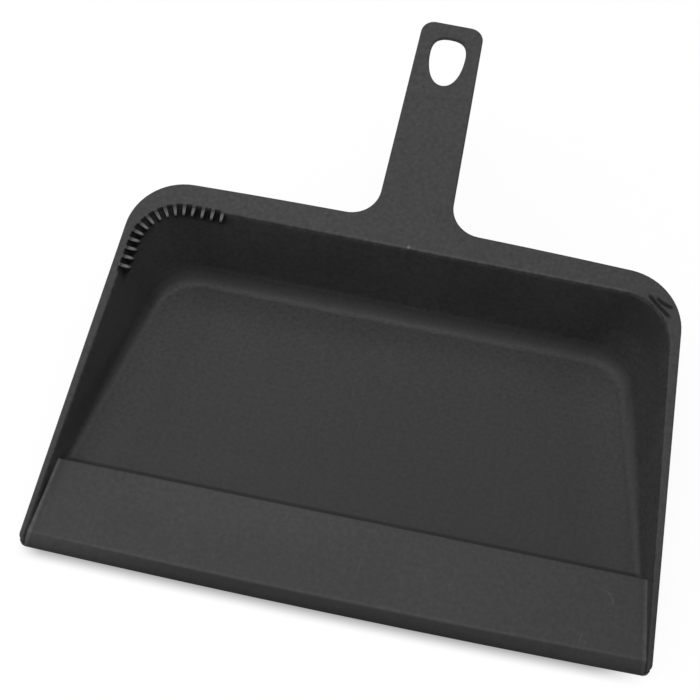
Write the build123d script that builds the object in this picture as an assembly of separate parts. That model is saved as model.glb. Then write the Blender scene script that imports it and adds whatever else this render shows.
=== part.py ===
from build123d import *
import os
from math import asin, atan2, cos, degrees, hypot, radians, sin, sqrt, tan

# A hand-held dust pan: an open tray with a sloping sweep ramp along its lip, a flat sloping rim
# that runs on into a wide flat handle, and a comb of fins in one rear corner for cleaning bristles.
# It is moulded in one shot. The solids below are the regions of that moulding, meeting face to face.
# Lengths are in millimetres. While modelling, y = 0 is the lip and the pan stands on z = 0.

# Rim
LIP_WIDTH = 311.0
REAR_WIDTH = 291.6
RIM_LENGTH = 206.4
RIM_SLOPE = 14.6
RIM_FRONT_HEIGHT = 4.9
RIM_THICKNESS = 2.4
REAR_BOW = 3.0
REAR_CORNER_RADIUS = 31.0
TOE_RADIUS = 4.0
SIDE_RIM_FRONT = 2.4
SIDE_RIM_REAR = 6.0
REAR_RIM = 14.8
RIM_EDGE_RADIUS = 1.0

# Tray walls and floor
WALL = 2.2
SIDE_DRAFT = 13.5
REAR_DRAFT = 5.0
WALL_CORNER_RADIUS = 27.0
FLOOR_FILLET_FRONT = 3.0
FLOOR_FILLET_REAR = 9.5
FOOT_EDGE_RADIUS = 0.8
FLOOR_FILLET_STEPS = 10
FOOT_FILLET_STEPS = 9

# Sweep ramp
LIP_THICKNESS = 0.9
LIP_BOW = 1.7
BEVEL_LENGTH = 6.4
BEVEL_HEIGHT = 4.5
BEVEL_BOW = 0.5
CREST_DISTANCE = 46.0
CREST_HEIGHT = 10.0
CREST_RADIUS = 0.8
STEP_LENGTH = 2.4
RAMP_SKIN = 2.4
RAMP_SOLID_NOSE = 13.0
RAMP_RIBS = 9
RAMP_RIB_WIDTH = 1.8

# Handle
HANDLE_LENGTH = 124.4
HANDLE_ROOT_WIDTH = 40.0
HANDLE_END_WIDTH = 34.4
SHOULDER_RADIUS = 16.0
HANDLE_END_RADIUS = 7.5
SKIRT_DEPTH = 9.0
SKIRT_WALL = 2.2
SPINE_WIDTH = 2.0
SPINE_ROOT_DEPTH = 24.0
SPINE_TAPER_LENGTH = 34.0
SPINE_HOLE_GAP = 8.0

# Hang hole
HOLE_LENGTH = 30.3
HOLE_WIDTH = 19.6
HOLE_END_MARGIN = 9.0
HOLE_BELLY = 10.3
HOLE_FAR_FULLNESS = 0.72
HOLE_NEAR_FULLNESS = 0.6
HOLE_EDGE_CHAMFER = 0.5

# Bristle comb
COMB_TEETH = 15
COMB_PITCH = 5.15
COMB_START = 98.8
TOOTH_REACH = 5.4
TOOTH_ROOT_WIDTH = 1.9
TOOTH_TIP_WIDTH = 1.1
TOOTH_TIP_HEIGHT = 1.6
TOOTH_DEPTH = 13.0
TOOTH_TOP_DROP = 0.5
NOTCH_SETBACK = 1.2

# Margins that only carry a cut past the faces it opens
CUT_OVER = 6.0

SLOPE = radians(RIM_SLOPE)
RIM_PLANE = Plane(
    origin=(0, 0, RIM_FRONT_HEIGHT),
    x_dir=(1, 0, 0),
    z_dir=(0, -sin(SLOPE), cos(SLOPE)),
)
RIM_UNDERSIDE = RIM_PLANE.offset(-RIM_THICKNESS)
HANDLE_END = RIM_LENGTH + HANDLE_LENGTH
REAR_INNER = RIM_LENGTH - REAR_RIM
TOP_HEIGHT = RIM_FRONT_HEIGHT + RIM_LENGTH * sin(SLOPE) + CUT_OVER
STEP_FOOT = CREST_DISTANCE + STEP_LENGTH


def rim_height(y):
    """Height of the rim's top face above the ground at a distance y behind the lip."""
    return RIM_FRONT_HEIGHT + y * tan(SLOPE)


def rim_inner_half_width(v):
    """Half width between the rim's inner edges at a distance v up the rim's slope."""
    front = LIP_WIDTH / 2 - SIDE_RIM_FRONT
    rear = REAR_WIDTH / 2 - SIDE_RIM_REAR
    return front + (rear - front) * v / RIM_LENGTH


def inner_half_width(y, z):
    """Half width of the tray's inside on the drafted side wall, at a place y and a height z."""
    return rim_inner_half_width(y / cos(SLOPE)) - (rim_height(y) - z) * tan(radians(SIDE_DRAFT))


def inner_rear(z):
    """Distance from the lip to the drafted rear wall's inside, at a height z."""
    rim_y = REAR_INNER * cos(SLOPE)
    return rim_y - (rim_height(rim_y) - z) * tan(radians(REAR_DRAFT))


def fillet_inset(height, radius, draft):
    """How far a floor fillet stands in from its drafted wall, at a height above the floor."""
    lean = radians(draft)
    if height >= radius * (1 - sin(lean)):
        return 0.0
    below = radius - height
    return radius / cos(lean) - below * tan(lean) - sqrt(radius**2 - below**2)


def wall_ring(front_y, front_z, rear_z, insets, grow):
    """Outline of the tray on a level or tilted plane: its inside, or its outside when grown by the wall."""
    front_inset, side_inset, rear_inset = insets
    side_grow = grow / cos(radians(SIDE_DRAFT))
    rear_y = inner_rear(rear_z) + grow / cos(radians(REAR_DRAFT)) - rear_inset
    front_x = inner_half_width(front_y, front_z) + side_grow - front_inset
    rear_x = inner_half_width(rear_y, rear_z) + side_grow - side_inset
    length = hypot(rear_y - front_y, rear_z - front_z)
    outline = Polygon((-front_x, 0), (front_x, 0), (rear_x, length), (-rear_x, length), align=None)
    corners = outline.vertices().group_by(Axis.Y)[-1]
    outline = fillet(corners, WALL_CORNER_RADIUS + grow - rear_inset)
    normal = (0, front_z - rear_z, rear_y - front_y)
    return Plane(origin=(0, front_y, front_z), x_dir=(1, 0, 0), z_dir=normal) * outline


def tray_space(front_y, floor_z, front_radius, rear_radius, grow, steps):
    """Solid bounded by the tray's walls, with a floor fillet that widens from the front to the rear."""
    rings = []
    for i in range(steps + 1):
        lift = 1 - cos(radians(90 - REAR_DRAFT) * i / steps)
        front_lift = front_radius * lift
        rear_lift = rear_radius * lift
        insets = (
            fillet_inset(front_lift, front_radius, SIDE_DRAFT),
            fillet_inset(rear_lift, rear_radius, SIDE_DRAFT),
            fillet_inset(rear_lift, rear_radius, REAR_DRAFT),
        )
        rings.append(wall_ring(front_y, floor_z + front_lift, floor_z + rear_lift, insets, grow))
    brim = wall_ring(front_y, TOP_HEIGHT, TOP_HEIGHT, (0, 0, 0), grow)
    return loft(rings) + loft([rings[-1], brim], ruled=True)


def throat():
    """Space between the flat side walls over the sweep ramp, from below the ground to above the rim."""
    rings = []
    for z in (-CUT_OVER, TOP_HEIGHT):
        front_x = inner_half_width(-CUT_OVER, z)
        rear_x = inner_half_width(STEP_FOOT, z)
        corners = ((-front_x, -CUT_OVER), (front_x, -CUT_OVER), (rear_x, STEP_FOOT), (-rear_x, STEP_FOOT))
        rings.append(Pos(0, 0, z) * Polygon(*corners, align=None))
    return loft(rings, ruled=True)


def handle_half_width(v):
    """Half width of the tapered handle at a distance v up the rim's slope."""
    taper = (HANDLE_END_WIDTH - HANDLE_ROOT_WIDTH) / HANDLE_LENGTH
    return (HANDLE_ROOT_WIDTH + taper * (v - RIM_LENGTH)) / 2


def handle_outline(start, inset):
    """Handle as seen square to the rim, from a start under the rim to its rounded end."""
    end = HANDLE_END - inset
    wide = handle_half_width(start) - inset
    narrow = handle_half_width(end) - inset
    face = Polygon((-wide, start), (wide, start), (narrow, end), (-narrow, end), align=None)
    return fillet(face.vertices().group_by(Axis.Y)[-1], HANDLE_END_RADIUS - inset)


def plate_outline():
    """Rim and handle in one outline: bowed rear edge, rounded corners and shoulders."""
    lip = LIP_WIDTH / 2
    rear = REAR_WIDTH / 2
    border = Polyline((-rear, RIM_LENGTH - REAR_BOW), (-lip, 0), (lip, 0), (rear, RIM_LENGTH - REAR_BOW))
    bow = ThreePointArc((rear, RIM_LENGTH - REAR_BOW), (0, RIM_LENGTH), (-rear, RIM_LENGTH - REAR_BOW))
    face = make_face([*border.edges(), bow])
    face = fillet(face.vertices().group_by(Axis.Y)[-1], REAR_CORNER_RADIUS)
    face = fillet(face.vertices().group_by(Axis.Y)[0], TOE_RADIUS)
    face = face + handle_outline(REAR_INNER, 0)
    roots = [(side * HANDLE_ROOT_WIDTH / 2, RIM_LENGTH) for side in (-1, 1)]
    shoulders = [face.vertices().sort_by_distance(root)[0] for root in roots]
    return fillet(shoulders, SHOULDER_RADIUS)


def hole_outline():
    """Hang hole: an egg with its belly and its fuller end towards the handle's end."""
    far = HANDLE_END - HOLE_END_MARGIN
    belly = far - HOLE_BELLY
    quarters = []
    for side in (-HOLE_WIDTH / 2, HOLE_WIDTH / 2):
        for end, fullness in ((far, HOLE_FAR_FULLNESS), (far - HOLE_LENGTH, HOLE_NEAR_FULLNESS)):
            shoulder = belly + fullness * (end - belly)
            quarters.append(Bezier((side, belly), (side, shoulder), (side * fullness, end), (0, end)))
    return make_face(quarters)


# Spaces and outer envelope of the tray
inside = tray_space(STEP_FOOT, WALL, FLOOR_FILLET_FRONT, FLOOR_FILLET_REAR, 0, FLOOR_FILLET_STEPS)
envelope = tray_space(0, 0, FOOT_EDGE_RADIUS, FLOOR_FILLET_REAR + WALL, WALL, FOOT_FILLET_STEPS)
mouth = throat()

# Tray: floor, side walls and rear wall, up to the underside of the rim, with rounded toes beside the lip
toes = Polygon(
    (-LIP_WIDTH / 2, 0),
    (LIP_WIDTH / 2, 0),
    (LIP_WIDTH / 2, RIM_LENGTH),
    (-LIP_WIDTH / 2, RIM_LENGTH),
    align=None,
)
toes = fillet(toes.vertices().group_by(Axis.Y)[0], TOE_RADIUS)
tray = split(envelope, bisect_by=RIM_UNDERSIDE, keep=Keep.BOTTOM) - inside - mouth
tray &= extrude(toes, amount=TOP_HEIGHT, both=True)

# Sweep ramp: a long straight rise to a crest and a short step down to the floor
rise = (CREST_HEIGHT - BEVEL_HEIGHT) / (CREST_DISTANCE - BEVEL_LENGTH)
nose_height = BEVEL_HEIGHT + rise * (RAMP_SOLID_NOSE - BEVEL_LENGTH)
section = Polygon(
    (-CUT_OVER, -CUT_OVER),
    (STEP_FOOT + CUT_OVER, -CUT_OVER),
    (STEP_FOOT + CUT_OVER, WALL),
    (STEP_FOOT, WALL),
    (CREST_DISTANCE, CREST_HEIGHT),
    (-CUT_OVER, BEVEL_HEIGHT - rise * (BEVEL_LENGTH + CUT_OVER)),
    align=None,
)
section = fillet(section.vertices().sort_by_distance((CREST_DISTANCE, CREST_HEIGHT))[0], CREST_RADIUS)

# Its front: a thin lip and a rounded bevel, bowed forward between the side walls
lip = -LIP_BOW
bevel_top = BEVEL_LENGTH - LIP_BOW
bevel = SagittaArc((lip, LIP_THICKNESS), (bevel_top, BEVEL_HEIGHT), BEVEL_BOW)
behind = Polyline(
    (bevel_top, BEVEL_HEIGHT),
    (bevel_top, TOP_HEIGHT),
    (STEP_FOOT + 2 * CUT_OVER, TOP_HEIGHT),
    (STEP_FOOT + 2 * CUT_OVER, 0),
    (lip, 0),
    (lip, LIP_THICKNESS),
)
lip_radius = ((LIP_WIDTH / 2) ** 2 + LIP_BOW**2) / (2 * LIP_BOW)
lip_axis = Axis((0, lip_radius - LIP_BOW, 0), (0, 0, 1))
lip_turn = degrees(asin(LIP_WIDTH / 2 / lip_radius))
front = Plane.YZ * make_face([bevel, *behind.edges()])
front = revolve(front.rotate(lip_axis, -lip_turn), lip_axis, 2 * lip_turn)

# Its underside: hollow between the nose and the step, with ribs across the hollow
pocket = Polygon(
    (RAMP_SOLID_NOSE, 0),
    (RAMP_SOLID_NOSE, nose_height - RAMP_SKIN),
    (CREST_DISTANCE - RAMP_SKIN, CREST_HEIGHT - RAMP_SKIN - rise * RAMP_SKIN),
    (CREST_DISTANCE - RAMP_SKIN, 0),
    align=None,
)
ramp = extrude(Plane.YZ * section, amount=LIP_WIDTH / 2, both=True) & front & mouth
pocket_half = inner_half_width(CREST_DISTANCE, 0) - RAMP_SKIN
hollow = extrude(Plane.YZ * pocket, amount=pocket_half, both=True)
rib_step = 2 * pocket_half / (RAMP_RIBS + 1)
for i in range(RAMP_RIBS):
    rib_x = -pocket_half + rib_step * (i + 1)
    hollow -= Pos(rib_x, CREST_DISTANCE / 2, 0) * Box(RAMP_RIB_WIDTH, CREST_DISTANCE, 2 * CREST_HEIGHT)
ramp -= hollow

# Rim and handle top: one flat plate on the slope, opened over the tray and at the hang hole
plate = extrude(RIM_PLANE * plate_outline(), amount=-RIM_THICKNESS)
plate = plate - inside - mouth - extrude(RIM_PLANE * hole_outline(), amount=CUT_OVER, both=True)
top_face = plate.faces().sort_by(Axis(RIM_PLANE.origin, RIM_PLANE.z_dir))[-1]
plate = fillet(top_face.outer_wire().edges(), RIM_EDGE_RADIUS)
top_face = plate.faces().sort_by(Axis(RIM_PLANE.origin, RIM_PLANE.z_dir))[-1]
plate = chamfer(top_face.inner_wires()[0].edges(), HOLE_EDGE_CHAMFER)

# The plate is rim up to the end of the shoulders and handle beyond them
shoulder_end = RIM_LENGTH + SHOULDER_RADIUS
shoulder_plane = Plane(origin=RIM_PLANE.from_local_coords((0, shoulder_end, 0)), z_dir=RIM_PLANE.y_dir)
rim = split(plate, bisect_by=shoulder_plane, keep=Keep.BOTTOM)
grip = split(plate, bisect_by=shoulder_plane, keep=Keep.TOP)

# Handle underside: a skirt round the edge and a deepening spine, both run on to the rear wall
root = REAR_INNER - SPINE_ROOT_DEPTH
channel = handle_outline(root, 0) - handle_outline(root - CUT_OVER, SKIRT_WALL)
skirt = extrude(RIM_UNDERSIDE * channel, amount=RIM_THICKNESS - SKIRT_DEPTH)
spine_end = HANDLE_END - HOLE_END_MARGIN - HOLE_LENGTH - SPINE_HOLE_GAP
spine_side = Polygon(
    (root, -RIM_THICKNESS),
    (spine_end, -RIM_THICKNESS),
    (spine_end, -SKIRT_DEPTH),
    (RIM_LENGTH + SPINE_TAPER_LENGTH, -SKIRT_DEPTH),
    (REAR_INNER, -SPINE_ROOT_DEPTH),
    (root, -SPINE_ROOT_DEPTH),
    align=None,
)
side_plane = Plane(origin=RIM_PLANE.origin, x_dir=RIM_PLANE.y_dir, z_dir=(1, 0, 0))
spine = extrude(side_plane * spine_side, amount=SPINE_WIDTH / 2, both=True)
handle = grip + (skirt - envelope) + (spine - envelope)

# Comb: upright fins along the tray's inner edge, round one rear corner, with the edge notched between them
comb_fore = REAR_INNER - COMB_TEETH * COMB_PITCH
comb_line = FilletPolyline(
    (-COMB_START, REAR_INNER),
    (-rim_inner_half_width(REAR_INNER), REAR_INNER),
    (-rim_inner_half_width(comb_fore), comb_fore),
    radius=WALL_CORNER_RADIUS,
)
fin_side = Polygon(
    (-TOOTH_REACH, -TOOTH_TOP_DROP),
    (TOOTH_REACH, -TOOTH_TOP_DROP),
    (TOOTH_REACH, -TOOTH_TOP_DROP - TOOTH_TIP_HEIGHT),
    (0, -TOOTH_DEPTH),
    (-TOOTH_REACH, -TOOTH_DEPTH),
    align=None,
)
fin_plan = Polygon(
    (-TOOTH_REACH, -TOOTH_ROOT_WIDTH / 2),
    (0, -TOOTH_ROOT_WIDTH / 2),
    (TOOTH_REACH, -TOOTH_TIP_WIDTH / 2),
    (TOOTH_REACH, TOOTH_TIP_WIDTH / 2),
    (0, TOOTH_ROOT_WIDTH / 2),
    (-TOOTH_REACH, TOOTH_ROOT_WIDTH / 2),
    align=None,
)
fin = extrude(Plane.XZ * fin_side, amount=TOOTH_ROOT_WIDTH, both=True)
fin &= extrude(fin_plan, amount=-TOOTH_DEPTH)
notch_lean = (NOTCH_SETBACK + TOOTH_REACH) / TOOTH_DEPTH
notch_side = Polygon(
    (-NOTCH_SETBACK - notch_lean * CUT_OVER, CUT_OVER),
    (TOOTH_REACH, CUT_OVER),
    (TOOTH_REACH, -TOOTH_DEPTH),
    align=None,
)
notch = extrude(Plane.XZ * notch_side, amount=(COMB_PITCH - TOOTH_ROOT_WIDTH) / 2, both=True)
teeth = []
for i in range(2 * COMB_TEETH):
    share = i * COMB_PITCH / 2 / comb_line.length
    foot = comb_line @ share
    along = comb_line % share
    inward = degrees(atan2(along.X, -along.Y))
    place = RIM_PLANE.location * Pos(foot.X, foot.Y, 0) * Rot(0, 0, inward)
    if i % 2 == 0:
        teeth.append(place * fin & inside)
    else:
        rim -= place * notch
        tray -= place * notch
comb = Compound(children=[solid for tooth in teeth for solid in tooth.solids()])

# One file for each region, in a frame under the middle of the whole pan
nodes = {"pan_tray": tray, "sweep_ramp": ramp, "rim": rim, "handle": handle, "bristle_comb": comb}
whole = Compound(children=[solid for shape in nodes.values() for solid in shape.solids()]).bounding_box()
frame = Pos(0, -(whole.min.Y + whole.max.Y) / 2, 0)
os.makedirs("parts", exist_ok=True)
for name, shape in nodes.items():
    print(name, round(shape.volume), len(shape.solids()), shape.bounding_box())
    export_step(frame * shape, f"parts/{name}.step")
print(whole)
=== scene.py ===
# %% [markdown]
# # A black dust pan
# The pan is one moulding in black plastic: a tray with a sweep ramp along its lip, a flat sloping rim
# that runs on into the handle, and a comb of small fins in one rear corner. Its shape comes from the
# imported solids, which could be rebuilt here as meshes but are right as they are. This script gives them
# the skin of a real moulding, with the wear that is too fine for a solid and with painted light and
# shade, and sets up the studio. It is laid out in cells, and each note says why its step is done so.

# %% The imported solids
from math import cos, dist, pi, radians, sin, tan

import bmesh
import bpy
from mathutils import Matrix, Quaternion, Vector


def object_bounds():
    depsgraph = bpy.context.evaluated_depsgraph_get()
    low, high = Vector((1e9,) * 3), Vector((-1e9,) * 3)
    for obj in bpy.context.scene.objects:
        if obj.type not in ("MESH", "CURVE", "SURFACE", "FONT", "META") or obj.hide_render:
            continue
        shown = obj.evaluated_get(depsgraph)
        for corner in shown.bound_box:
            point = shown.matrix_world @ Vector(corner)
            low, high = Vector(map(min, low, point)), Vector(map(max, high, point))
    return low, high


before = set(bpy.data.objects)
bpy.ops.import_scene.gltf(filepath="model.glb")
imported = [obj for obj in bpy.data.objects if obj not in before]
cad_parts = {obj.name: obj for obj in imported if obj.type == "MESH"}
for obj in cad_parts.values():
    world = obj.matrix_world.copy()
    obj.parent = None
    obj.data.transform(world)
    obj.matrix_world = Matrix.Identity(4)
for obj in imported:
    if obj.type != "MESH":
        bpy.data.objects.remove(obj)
cad_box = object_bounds()
MM = 0.001
for name, solid in sorted(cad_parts.items()):
    print("solid", name, len(solid.data.polygons), "triangles")
print("box in mm", [[round(v / MM, 1) for v in corner] for corner in cad_box])

# %% [markdown]
# ## Camera
# The photograph looks down on the pan from the front, a little to the right, and the pan is turned in
# the picture. A camera could be placed by eye, but the pan has straight edges that meet the picture at
# known angles, so the numbers below were fitted to them: height above the horizon, turn about the
# upright axis, roll about the line of sight, and focal length in picture widths.

# %% Camera
VIEW_HEIGHT = radians(55.0)
VIEW_TURN = radians(5.68)
VIEW_ROLL = radians(6.65)
VIEW_CENTRE = Vector((-18.0, -29.25, 30.0)) * MM
VIEW_DISTANCE = 773.3 * MM
FOCAL_WIDTHS = 1500 / 700
SENSOR_WIDTH = 36.0

lens = bpy.data.cameras.new("camera")
lens.sensor_width = SENSOR_WIDTH
lens.lens = FOCAL_WIDTHS * SENSOR_WIDTH
camera = bpy.data.objects.new("camera", lens)
bpy.context.scene.collection.objects.link(camera)
level = cos(VIEW_HEIGHT)
towards = Vector((sin(VIEW_TURN) * level, -cos(VIEW_TURN) * level, sin(VIEW_HEIGHT)))
camera.rotation_mode = "QUATERNION"
camera.location = VIEW_CENTRE + towards * VIEW_DISTANCE
camera.rotation_quaternion = towards.to_track_quat("Z", "Y") @ Quaternion((0, 0, 1), VIEW_ROLL)
bpy.context.scene.camera = camera
bpy.context.scene.view_settings.view_transform = "Standard"
print("camera at mm", [round(v / MM) for v in camera.location], "lens", round(lens.lens, 1))

# %% [markdown]
# ## Sums on sockets
# A material is a graph of nodes. Linking a Math node by hand for every plus sign hides the idea behind
# the wiring, so one small class wraps a node's output and lets Python's own signs add the Math nodes.
# Every other kind of node comes from its `node` method: the type, the options, then the sockets.

# %% Sums on sockets
class Signal:
    """One output of a shader node, which takes part in Python sums."""

    def __init__(self, tree, socket=None):
        self.tree = tree
        self.socket = socket

    def node(self, kind, options=None, sockets=None, output=0):
        """Adds a node, sets its options and then its sockets, and gives back one of its outputs."""
        made = self.tree.nodes.new(kind)
        for option, value in (options or {}).items():
            setattr(made, option, value)
        for socket, value in (sockets or {}).items():
            if isinstance(value, Signal):
                self.tree.links.new(value.socket, made.inputs[socket])
            else:
                made.inputs[socket].default_value = value
        return Signal(self.tree, made.outputs[output] if made.outputs else None)

    def maths(self, operation, first, second=0.0):
        """A Math node on two values, each a signal or a number."""
        return self.node("ShaderNodeMath", {"operation": operation}, {0: first, 1: second})

    def scale(self, vector, factor):
        """A vector or colour times a value, which a Math node would turn into one number."""
        sockets = {0: vector, "Scale": factor}
        return self.node("ShaderNodeVectorMath", {"operation": "SCALE"}, sockets)

    def __add__(self, other):
        return self.maths("ADD", self, other)

    def __radd__(self, other):
        return self.maths("ADD", other, self)

    def __sub__(self, other):
        return self.maths("SUBTRACT", self, other)

    def __rsub__(self, other):
        return self.maths("SUBTRACT", other, self)

    def __mul__(self, other):
        return self.maths("MULTIPLY", self, other)

    def __rmul__(self, other):
        return self.maths("MULTIPLY", other, self)

    def __pow__(self, other):
        return self.maths("POWER", self, other)

    def __abs__(self):
        return self.maths("ABSOLUTE", self)

    def fade(self, start, end):
        """0 at start, 1 at end and a soft step between them; start may be the larger one."""
        sockets = {"Value": self, "From Min": start, "From Max": end}
        return self.node("ShaderNodeMapRange", {"interpolation_type": "SMOOTHSTEP"}, sockets)

    def between(self, low, high, soft):
        """1 from low to high, and 0 beyond a soft edge on either side."""
        return self.fade(low - soft, low) * self.fade(high + soft, high)


def new_tree(holder):
    """An empty node tree for a material or a world, as a signal to start from."""
    holder.use_nodes = True
    holder.node_tree.nodes.clear()
    return Signal(holder.node_tree)


print("sums ready")

# %% [markdown]
# ## Places on the pan
# Marks are set out as on a drawing of the pan: across from its middle line, back from the two toes beside
# the lip, and up from the ground, in millimetres. A map unwrapped over each solid could place them too,
# but Object coordinates need none, and mean the same on every solid. The lip bows forward between the
# toes, so how far a point is behind the lip depends on two of the three numbers.

# %% Places on the pan
LIP_BOW = 1.7
LIP_HALF_WIDTH = 155.5
TOE_Y = cad_box[0].y / MM + LIP_BOW


class Place:
    """Object coordinates as across, back and up, in millimetres, for one node tree."""

    def __init__(self, start):
        where = start.node("ShaderNodeTexCoord", output="Object")
        self.point = start.scale(where, 1 / MM)
        self.across, y, self.up = (
            start.node("ShaderNodeSeparateXYZ", None, {0: self.point}, axis) for axis in "XYZ"
        )
        self.back = y - TOE_Y
        self.side = abs(self.across)

    def behind_lip(self):
        """Distance behind the bowed lip: less than 0 on the ground in front of it."""
        return self.back + LIP_BOW * (1 - (self.side * (1 / LIP_HALF_WIDTH)) ** 2)


print("toes at y", round(TOE_Y, 2), "mm")

# %% [markdown]
# ## Stage
# The photograph has a white ground, with one soft shade on it along the lip. A pale floor takes the pan's
# shadow. Stronger lamps could turn it white, but they would bleach the pan. So part of its white is its
# own, shown to the camera and in reflections, and weak shadows wash out as they do in the photograph. The
# shade comes from the gap under the thin lip, which is closed here, so the floor carries it as a soft band.

# %% Floor
FLOOR_DROP = 0.1 * MM
FLOOR_SIZE = 6.0
FLOOR_WHITE = 0.95
FLOOR_OWN_WHITE = 0.92
LIP_SHADE = 0.62
WHITE = (1.0, 1.0, 1.0)

shape = bmesh.new()
bmesh.ops.create_grid(shape, x_segments=2, y_segments=2, size=FLOOR_SIZE / 2)
bmesh.ops.translate(shape, verts=shape.verts, vec=(0, 0, -FLOOR_DROP))
floor_mesh = bpy.data.meshes.new("studio_floor")
shape.to_mesh(floor_mesh)
shape.free()
floor = bpy.data.objects.new("studio_floor", floor_mesh)
bpy.context.scene.collection.objects.link(floor)


def seen(start):
    """1 for rays from the camera, a reflection or through glass, and 0 for light that only bounces."""
    camera_ray, glossy_ray, glass_ray = (
        start.node("ShaderNodeLightPath", output=kind)
        for kind in ("Is Camera Ray", "Is Glossy Ray", "Is Transmission Ray")
    )
    return start.maths("MAXIMUM", start.maths("MAXIMUM", camera_ray, glossy_ray), glass_ray)


paper = bpy.data.materials.new("white_paper")
start = new_tree(paper)
ground = Place(start)
lip_band = ground.behind_lip().between(1.5, 20.0, soft=8.8)
band_ends = ground.across.fade(-157.0, -142.0) * ground.across.fade(156.0, 125.0)
tint = start.scale(WHITE, 1 - LIP_SHADE * lip_band * band_ends)
matt = start.node("ShaderNodeBsdfDiffuse", None, {"Color": start.scale(tint, FLOOR_WHITE)})
own_white = start.node("ShaderNodeEmission", None, {"Color": tint, "Strength": 1.0})
own_share = seen(start) * FLOOR_OWN_WHITE
surface = start.node("ShaderNodeMixShader", None, {0: own_share, 1: matt, 2: own_white})
start.node("ShaderNodeOutputMaterial", None, {"Surface": surface})
floor_mesh.materials.append(paper)
print("floor", FLOOR_SIZE, "m")

# %% [markdown]
# ## Light
# Black plastic shows its lights more than its colour. In the photograph the handle, rim and ramp, which
# lean towards the viewer, are the palest; the floor is darker, the walls are nearly black, and the wall
# on the right is paler than the one on the left. One lamp can't do all that. White air all round gives
# the even part, a sheet straight overhead mirrors in the faces that lean forward, and two more on the
# left reach the right wall. The levels add up to about one, so that a colour shows as it is written.

# %% Light
AIR_FILL = 0.62
LIGHTS = {
    "top_sheet": {"place": (0.0, 0.0, 1.30), "size": (0.7, 0.7), "radiance": 2.9},
    "high_left_sheet": {"place": (-0.75, 0.0, 1.10), "size": (0.6, 0.9), "radiance": 1.9},
    "low_left_sheet": {"place": (-1.20, 0.0, 0.60), "size": (0.6, 0.9), "radiance": 1.7},
}
LIGHT_AIM = Vector((0, -0.02, 0.02))

air = bpy.data.worlds.new("studio_air")
bpy.context.scene.world = air
start = new_tree(air)
strength = AIR_FILL + (1 - AIR_FILL) * seen(start)
sky = start.node("ShaderNodeBackground", None, {"Color": (*WHITE, 1.0), "Strength": strength})
start.node("ShaderNodeOutputWorld", None, {"Surface": sky})

for name, light in LIGHTS.items():
    lamp = bpy.data.lights.new(name, "AREA")
    lamp.shape = "RECTANGLE"
    lamp.size, lamp.size_y = light["size"]
    lamp.energy = light["radiance"] * pi * lamp.size * lamp.size_y
    holder = bpy.data.objects.new(name, lamp)
    holder.location = light["place"]
    holder.rotation_mode = "QUATERNION"
    holder.rotation_quaternion = (holder.location - LIGHT_AIM).to_track_quat("Z", "Y")
    bpy.context.scene.collection.objects.link(holder)
    print("light", name, round(lamp.energy, 1), "W")

# %% [markdown]
# ## Plastic
# The mould is spark-eroded, so the plastic leaves it with a fine grain and a satin face, and with faint
# clouds and flecks where it flowed and cooled. The grain could be a picture, but a picture needs a map on
# every solid and shows a seam where two meet. Noise on the pan's own coordinates runs across the solids
# unbroken. Each finish starts from this skin, and then `mark` lays wear and painted light and shade on
# it: a mask, and what the mask does to tone, roughness and height. Half of what black plastic shows is
# gloss, which no tone changes, so a mark that should look a tenth paler has to be a fifth paler in tone.

# %% Plastic
PLASTIC = (0.0300, 0.0300, 0.0304)
SPECULAR = 0.25
ROUGHNESS = 0.6
ROUGHNESS_SPREAD = 0.2
GRAIN_SIZE = 0.45
GRAIN_DEPTH = 0.012
FLECK_DEPTH = 0.02
CLOUD_SIZE = 38.0
CLOUD_TONE = 0.3
# A fine line's full core in widths, and where it starts to thin out and ends, in half lengths.
LINE_CORE, LINE_FULL, LINE_END = 0.3, 0.7, 1.15


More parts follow.
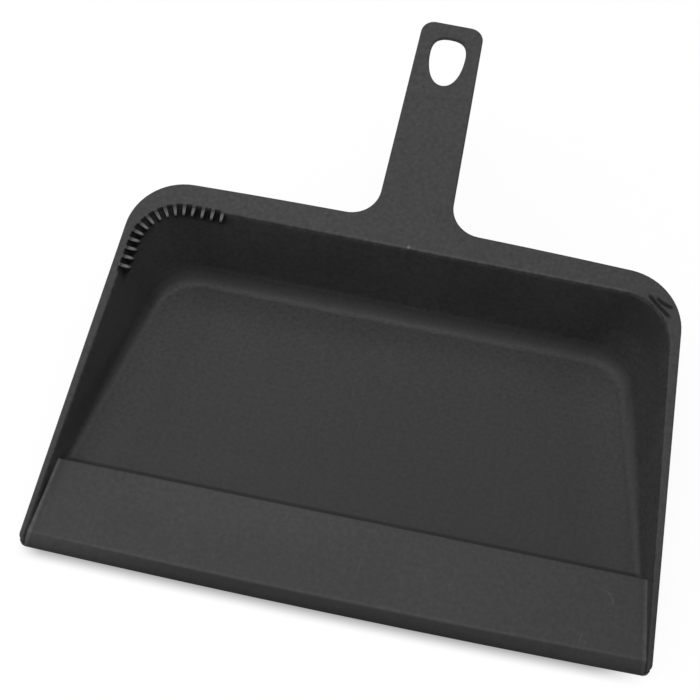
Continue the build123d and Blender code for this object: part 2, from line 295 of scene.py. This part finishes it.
class Skin(Place):
    """A satin black finish that wear and painted light and shade are laid on; lengths are in millimetres.
    """

    def __init__(self, name, fleck_size, mottle):
        self.material = bpy.data.materials.new(name)
        self.marks = []
        super().__init__(new_tree(self.material))
        clouds = self.noise(CLOUD_SIZE, detail=2.0) - 0.5
        flecks = self.noise(fleck_size, detail=3.0) - 0.5
        self.tone = 1 + CLOUD_TONE * clouds + mottle * flecks
        self.roughness = ROUGHNESS + ROUGHNESS_SPREAD * (clouds + flecks)
        self.height = GRAIN_DEPTH * self.noise(GRAIN_SIZE, detail=1.0) + FLECK_DEPTH * flecks

    def noise(self, size, detail):
        """Even noise with features of a size, from 0 to 1."""
        sockets = {"Vector": self.point, "Scale": 1 / size, "Detail": detail}
        return self.point.node("ShaderNodeTexNoise", None, sockets)

    def strokes(self, degrees, width, length, edge):
        """Thin strokes at an angle to the pan's length; edge is where noise starts and is a full stroke."""
        sockets = {
            "Vector": self.point,
            "Rotation": (0, 0, radians(degrees)),
            "Scale": (width, length, length),
        }
        along = self.point.node("ShaderNodeMapping", {"vector_type": "TEXTURE"}, sockets)
        sockets = {"Vector": along, "Scale": 1.0, "Detail": 1.0}
        return self.point.node("ShaderNodeTexNoise", None, sockets).fade(*edge)

    def from_point(self, across, back):
        """Distance from an upright line through a point of the plan."""
        sockets = {0: self.point, 1: (1, 1, 0)}
        flat = self.point.node("ShaderNodeVectorMath", {"operation": "MULTIPLY"}, sockets)
        sockets = {0: flat, 1: (across, back + TOE_Y, 0)}
        return self.point.node("ShaderNodeVectorMath", {"operation": "DISTANCE"}, sockets, "Value")

    def line(self, first, middle, last, width):
        """A fine arc through three points of the plan, which thins out towards its ends."""
        a, b, c = (complex(*point) for point in (first, middle, last))
        turn = (c - a) / (b - a)
        centre = a + (b - a) * (turn - abs(turn) ** 2) / (2j * turn.imag)
        off = abs(self.from_point(centre.real, centre.imag) - abs(a - centre))
        reach = dist(first, last) / 2
        ends = self.from_point(*middle).fade(LINE_END * reach, LINE_FULL * reach)
        return off.fade(width, LINE_CORE * width) * ends

    def mark(self, what, mask, tone=0.0, roughness=0.0, height=0.0):
        """Wear and painted light and shade where the mask is 1: a share of the tone, a change of roughness,
        a height.
        """
        self.marks.append(what)
        if tone:
            self.tone = self.tone * (1 + tone * mask)
        if roughness:
            self.roughness = self.roughness + roughness * mask
        if height:
            self.height = self.height + height * mask

    def dress(self, node):
        """Joins the skin to the shader and gives it to a solid."""
        start = self.point
        sockets = {"Strength": 1.0, "Distance": MM, "Height": self.height}
        sockets = {
            "Base Color": start.scale(PLASTIC, self.tone),
            "Roughness": self.roughness,
            "Specular IOR Level": SPECULAR,
            "Normal": start.node("ShaderNodeBump", None, sockets),
        }
        shader = start.node("ShaderNodeBsdfPrincipled", None, sockets)
        start.node("ShaderNodeOutputMaterial", None, {"Surface": shader})
        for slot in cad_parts[node].material_slots:
            slot.material = self.material
        print("finish", self.material.name, "on", node + ":", "; ".join(self.marks))


print("skin ready, grain of", GRAIN_SIZE, "mm")

# %% [markdown]
# ## Outlines
# Most marks, wear as well as painted light and shade, follow the shape of the tray: they lie so far in
# from the rim's opening, or so far under the rim's sloping face. Such masks could be painted on each solid
# by hand. A distance from the outline is shorter to write and runs on from one solid to the next. The
# outline narrows to the rear and has two round rear corners, so the distance is worked out as for a box
# with rounded corners. The walls lean inwards on their way down, and a sunk outline moves in with them.

# %% Outlines
RIM_FRONT_HEIGHT = 4.9
RIM_RISE = tan(radians(14.6))
SIDE_LEAN = tan(radians(13.5))
REAR_LEAN = tan(radians(5.0))
# Half width at the toes, narrowing for each millimetre back, rear end, corner radius.
RIM_OPENING = (153.1, 0.0666, 185.4, 26.5)
FLOOR_OUTLINE = (151.9, 0.168, 172.2, 18.0)


def below_rim(skin):
    """How far a point is under the rim's sloping top face."""
    return RIM_FRONT_HEIGHT + RIM_RISE * skin.back - skin.up


def inside_of(skin, outline, sunk=0.0):
    """Distance in from an outline, or from where the leaning walls have it when sunk; below 0 outside."""
    start = skin.point
    front_half, narrowing, rear, corner = outline
    beside = skin.side + narrowing * skin.back + SIDE_LEAN * sunk + (corner - front_half)
    beyond = skin.back + REAR_LEAN * sunk + (corner - rear)
    outer = start.maths("MAXIMUM", beside, 0.0) ** 2 + start.maths("MAXIMUM", beyond, 0.0) ** 2
    inner = start.maths("MINIMUM", start.maths("MAXIMUM", beside, beyond), 0.0)
    return corner - outer ** 0.5 - inner


def comb_shade_corner(skin):
    """1 in the rear corner that holds the bristle comb, but less near the rim along the rear edge."""
    corner = skin.across.fade(-94.0, -99.0) * skin.back.fade(141.0, 147.0)
    high_at_rear = skin.back.fade(168.0, 180.0) * below_rim(skin).fade(2.8, -0.4)
    return corner * (1 - high_at_rear)


rear_end = RIM_OPENING[2]
print("rim", round(RIM_FRONT_HEIGHT + RIM_RISE * rear_end, 1), "mm high at the tray's rear")

# %% [markdown]
# ## Rim
# The rim is the flat band that the hand meets first. At the rear its inner edge is a little smoother, with
# a painted highlight along it, and its rear left is paler with painted light. Painted shade darkens its
# outer side, and there the two halves of the mould leave a fine raised line. Painted shade also darkens
# the comb's notches. Near one rear corner are two short curved grooves, and a painted glint, a pale spot,
# sits on the rear edge. The grooves could be cut into the solid, but they are a fraction of a millimetre
# deep, so they are tone and bump.

# %% Rim
SEAM = {"tone": 0.8, "height": 0.05}
GROOVE = {"tone": -0.95, "roughness": 0.2, "height": -0.5}


def seam_of_mould(skin):
    """1 on the line where the two halves of the mould meet, on the rim's and handle's outer side."""
    return below_rim(skin).between(1.35, 1.5, soft=0.06)


rim = Skin("rim_plastic", fleck_size=2.4, mottle=1.55)
opening = inside_of(rim, RIM_OPENING)
drop = below_rim(rim)
outer_part = opening.fade(-1.0, -2.0)
# Painted highlight along the rear inner edge, which is also a little smoother.
rear_edge = opening.between(-0.8, 0.2, soft=0.6) * rim.back.fade(150.0, 185.0)
rim.mark("painted highlight on the smoother inner edge", rear_edge * rim.across.fade(-80.0, 20.0), tone=0.25, roughness=-0.1)
# Painted shade on the rim's outer side.
rim.mark("painted shade on the outer side", outer_part * drop.fade(0.15, 0.8), tone=-0.6)
rim.mark("seam of the mould", outer_part * seam_of_mould(rim), **SEAM)
# Painted light: the rear left of the rim is paler.
rear_left = rim.across.between(-100.0, -60.0, soft=60.0) * rim.back.fade(150.0, 190.0)
rim.mark("paler rear left", rear_left, tone=0.14)
front_right = rim.across.fade(138.0, 146.0) * rim.back.fade(70.0, 10.0)
rim.mark("darker front right", front_right, tone=-0.4)
# Painted shade in the comb's notches.
notches = comb_shade_corner(rim) * drop.fade(0.2, 0.8) * opening.fade(-7.0, -2.0)
rim.mark("painted shade in the comb's notches", notches, tone=-0.9)
long_groove = rim.line((127.6, 186.3), (133.8, 180.8), (140.6, 175.8), width=1.5)
rim.mark("long groove", long_groove, **GROOVE)
short_groove = rim.line((131.6, 185.6), (136.4, 182.6), (140.6, 181.4), width=1.4)
rim.mark("short groove", short_groove, **GROOVE)
# Painted glint: a pale, smoother spot on the rear edge.
rim.mark("painted glint", rim.from_point(0.9, 186.4).fade(1.3, 0.5), tone=2.0, roughness=-0.2)
rim.dress("rim")

# %% [markdown]
# ## Handle
# The handle has the same face as the rim, smoother where the palm rubs it, and painted light makes it
# paler towards its end. A faint line crosses it below the hole, where the plastic met again after it had
# flowed round the hole. Painted shade darkens its outer side, and the seam of the mould runs on from the
# rim along the skirt. One material for rim and handle would be shorter, but then the palm's wear would
# need a mask that keeps it off the rim.

# %% Handle
handle = Skin("handle_plastic", fleck_size=2.4, mottle=1.55)
palm = handle.back.between(200.0, 262.0, soft=20.0)
handle.mark("smooth where the palm rubs", palm, tone=-0.06, roughness=-0.04)
# Painted light: the handle is paler towards its end.
handle.mark("paler end", handle.back.fade(235.0, 285.0), tone=0.14)
flow_line = handle.line((-16.5, 271.4), (0.2, 273.9), (17.0, 275.9), width=1.4)
handle.mark("flow line below the hole", flow_line, tone=-0.16, height=-0.01)
# Painted shade on the handle's outer side.
handle.mark("painted shade on the outer side", below_rim(handle).fade(0.1, 0.7), tone=-0.6)
handle.mark("seam of the mould", seam_of_mould(handle), **SEAM)
handle.dress("handle")

# %% [markdown]
# ## Tray floor
# Sweeping leaves long faint strokes on the floor. The rest of its tone is painted light and shade:
# painted shade darkens it towards the ramp, in the middle, before the rear wall and in the crease behind
# the ramp, and painted light makes it paler at the rear, on the left, in the rear corners and along its
# sides. Each could be a layer of paint. As a mask from two or three distances, each stays a line that can
# be changed without the rest. All of them hold on the floor's top face alone.

# %% Tray floor
tray = Skin("tray_plastic", fleck_size=2.3, mottle=1.05)
on_floor = tray.up.between(1.8, 2.4, soft=1.2)
floor_edge = inside_of(tray, FLOOR_OUTLINE)
rear_corners = tray.side.fade(95.0, 125.0) * tray.back.fade(130.0, 165.0)
before_wall = tray.back.fade(150.0, 165.0) * tray.across.between(-100.0, -20.0, soft=30.0)
side_edges = floor_edge.fade(30.0, -1.0) * tray.back.fade(165.0, 120.0)
# Painted light and shade: each entry makes the floor paler or darker.
floor_light_and_shade = {
    "painted shade towards the ramp": (tray.back.fade(150.0, 50.0), -0.31),
    "painted shade in the middle": (tray.back.between(85.0, 125.0, soft=30.0), -0.06),
    "paler rear": (tray.back.fade(110.0, 160.0), 0.1),
    "paler left": (tray.across.fade(40.0, -130.0), 0.16),
    "painted light in the rear corners": (rear_corners, 0.24),
    "painted light along the sides": (side_edges, 0.42),
    "painted shade before the rear wall": (before_wall, -0.1),
    "painted shade in the crease": (tray.back.fade(52.6, 51.3), -0.75),
}
for what, (where, tone) in floor_light_and_shade.items():
    tray.mark(what, on_floor * where, tone)
sweeps = tray.strokes(4, width=0.9, length=60.0, edge=(0.62, 0.74))
sweeps = sweeps + tray.strokes(-9, width=0.7, length=45.0, edge=(0.64, 0.76))
tray.mark("sweep strokes", sweeps * on_floor, tone=0.06, roughness=-0.03)
print("floor marks", len(tray.marks))

# %% [markdown]
# ## Tray walls
# Painted shade darkens the rear wall, the left wall, the rear right corner and the fillets. At the foot
# of the rear fillet, where the brush turns, the face is a little smoother, and a painted highlight makes
# it a pale line. Painted shade also darkens the wall behind the fins of the comb and the gap beside the
# ramp, on the inside only, so those two masks start from the leaning wall. Below, the tray slides on the
# ground, and its lowest faces carry scuffs. A lamp set for each shade would be right from one side only,
# so the shades are painted in the tone.

# %% Tray walls
def scuff(skin, top):
    """Short pale strokes on the faces that slide on the ground, up to a height."""
    strokes = skin.strokes(2, width=0.6, length=30.0, edge=(0.52, 0.70))
    skin.mark("scuffs below", strokes * skin.up.fade(top, 0.1), tone=0.9, roughness=0.12, height=-0.02)


drop = below_rim(tray)
inner_face = inside_of(tray, RIM_OPENING, drop).fade(-1.6, -0.8)
rearward = tray.back.fade(130.0, 170.0)
side_run = tray.back.between(80.0, 150.0, soft=30.0)
left_side, right_side = tray.across.fade(-60.0, -110.0), tray.across.fade(70.0, 110.0)

# Painted shade on the rear wall, the left wall, the rear right corner and the rear fillet.
upper_rear = tray.up.fade(8.0, 26.0) * tray.across.between(-60.0, 110.0, soft=50.0)
tray.mark("painted shade on the rear wall", upper_rear, tone=-0.14)
left_wall = tray.up.fade(5.0, 12.0) * tray.across.fade(-125.0, -135.0) * tray.back.fade(140.0, 90.0)
tray.mark("painted shade on the left wall", left_wall, tone=-0.12)
right_corner = tray.up.fade(20.0, 34.0) * tray.from_point(134.0, 182.0).fade(30.0, 6.0)
tray.mark("dark rear right corner", right_corner, tone=-0.35)
tray.mark("dark rear fillet", tray.up.between(4.4, 7.0, soft=2.2) * rearward, tone=-0.35)
# Painted highlight at the foot of the rear fillet, which is also a little smoother.
polished = floor_edge.between(-2.2, -0.8, soft=1.5) * rearward * (1 - 0.5 * tray.across.fade(0.0, 90.0))
tray.mark("painted highlight on the smoother foot of the rear fillet", polished, tone=0.28, roughness=-0.04)
# Painted shade on the left and right fillets.
left_fillet = floor_edge.between(-6.0, -3.2, soft=2.5) * side_run * left_side
tray.mark("dark left fillet", left_fillet, tone=-0.28)
right_fillet = floor_edge.between(-3.0, 0.0, soft=2.0) * side_run * right_side
tray.mark("dark right fillet", right_fillet, tone=-0.14)
# Painted shade in the gap beside the ramp.
gap = inner_face * tray.back.fade(42.0, 26.0) * tray.up.fade(2.6, 4.0) * tray.across.fade(50.0, -50.0)
tray.mark("painted shade beside the ramp", gap, tone=-0.8)
# Painted shade on the wall behind the comb's fins.
tray.mark("painted shade behind the comb", comb_shade_corner(tray) * inner_face * drop.fade(11.5, 5.5), tone=-0.9)
scuff(tray, top=0.9)
tray.dress("pan_tray")

# %% [markdown]
# ## Sweep ramp
# The ramp meets the ground and the brush, so it is the most worn piece. Painted shade darkens its bevel
# and its thin lip, which is also rougher. A painted highlight makes a faint pale line along the top edge
# of the bevel, which is a little smoother, and painted highlights run along the ramp's two side edges
# beside the walls. Painted light and shade also make the ramp darker on the left and at its right end,
# and paler at the upper left. Bristles leave strokes up the slope, and there are a few single scratches
# near one end. The bevel is found by the distance behind the bowed lip, so its marks bow with it. A
# straight band would cross the bevel.

# %% Sweep ramp
BEVEL_LENGTH = 6.4
RAMP_HALF_WIDTH = 152.2
RAMP_NARROWING = 0.0826

ramp = Skin("ramp_plastic", fleck_size=2.4, mottle=1.15)
behind = ramp.behind_lip()
# Painted shade on the bevel, and on the lip, which is also rougher.
bevel_share = ramp.across.fade(-180.0, -60.0) * (1 - 0.4 * ramp.across.fade(40.0, 150.0))
ramp.mark("painted shade on the bevel", behind.fade(BEVEL_LENGTH, BEVEL_LENGTH - 1.6) * bevel_share, tone=-0.6)
ramp.mark("painted shade on the rougher lip", behind.fade(2.6, 0.0), tone=-0.35, roughness=0.1)
# Painted highlight on the top of the bevel, which is also a little smoother.
bevel_top = behind.between(BEVEL_LENGTH - 0.2, BEVEL_LENGTH + 0.4, soft=0.6)
ramp.mark("painted highlight on the smoother top of the bevel", bevel_top, tone=0.16, roughness=-0.04)
# Painted highlight on the ramp's two side edges.
in_from_side = RAMP_HALF_WIDTH - RAMP_NARROWING * ramp.back - ramp.side
side_share = 0.5 + 0.5 * ramp.across.fade(50.0, -50.0)
ramp.mark("painted highlight on the side edges", in_from_side.fade(2.2, 0.3) * side_share, tone=2.0)
# Painted light and shade across the ramp: darker left and right end, paler upper left.
ramp.mark("darker left", ramp.across.fade(60.0, -20.0), tone=-0.05)
ramp.mark("darker right end", ramp.across.fade(40.0, 130.0), tone=-0.1)
upper_left = ramp.across.between(-75.0, -15.0, soft=50.0) * ramp.back.fade(16.0, 40.0)
ramp.mark("paler upper left", upper_left, tone=0.16)
ramp.mark("curved scratch", ramp.line((127.6, 36.2), (132.0, 33.6), (133.4, 29.3), width=0.7), tone=0.55)
ramp.mark("first tick", ramp.line((120.1, 12.1), (119.95, 10.3), (119.6, 8.5), width=0.6), tone=0.5)
ramp.mark("second tick", ramp.line((121.4, 9.9), (122.3, 8.9), (123.1, 7.8), width=0.6), tone=0.5)
sweeps = ramp.strokes(3, width=0.7, length=22.0, edge=(0.62, 0.76))
sweeps = sweeps + ramp.strokes(-7, width=0.9, length=30.0, edge=(0.62, 0.76))
ramp.mark("sweep strokes", sweeps, tone=0.08, roughness=-0.04)
scuff(ramp, top=0.6)
ramp.dress("sweep_ramp")

# %% [markdown]
# ## Bristle comb
# Every brush is pulled through the comb, so the tops of its fins are rubbed a little smoother, and a
# painted highlight makes them pale. They are as dark as the rim at their roots, and painted shade darkens
# the tips and the flanks. Fifteen materials could follow fifteen fins. But all the marks are distances
# from the rim, which turn the corner with the row, so one material serves them all.

# %% Bristle comb
comb = Skin("comb_plastic", fleck_size=1.5, mottle=0.3)
drop = below_rim(comb)
along = inside_of(comb, RIM_OPENING)
# Painted highlight on the fin tops, which are also smoother; painted shade on the tips and flanks.
rubbed = drop.fade(1.2, 0.7) * along.fade(-1.0, 3.2) * along.fade(5.0, 3.0)
comb.mark("painted highlight on the smoother tops", rubbed, tone=2.2, roughness=-0.1)
comb.mark("dark tips", along.fade(3.8, 5.2), tone=-0.6)
comb.mark("painted shade on the flanks", drop.fade(1.0, 2.0), tone=-0.6)
comb.dress("bristle_comb")
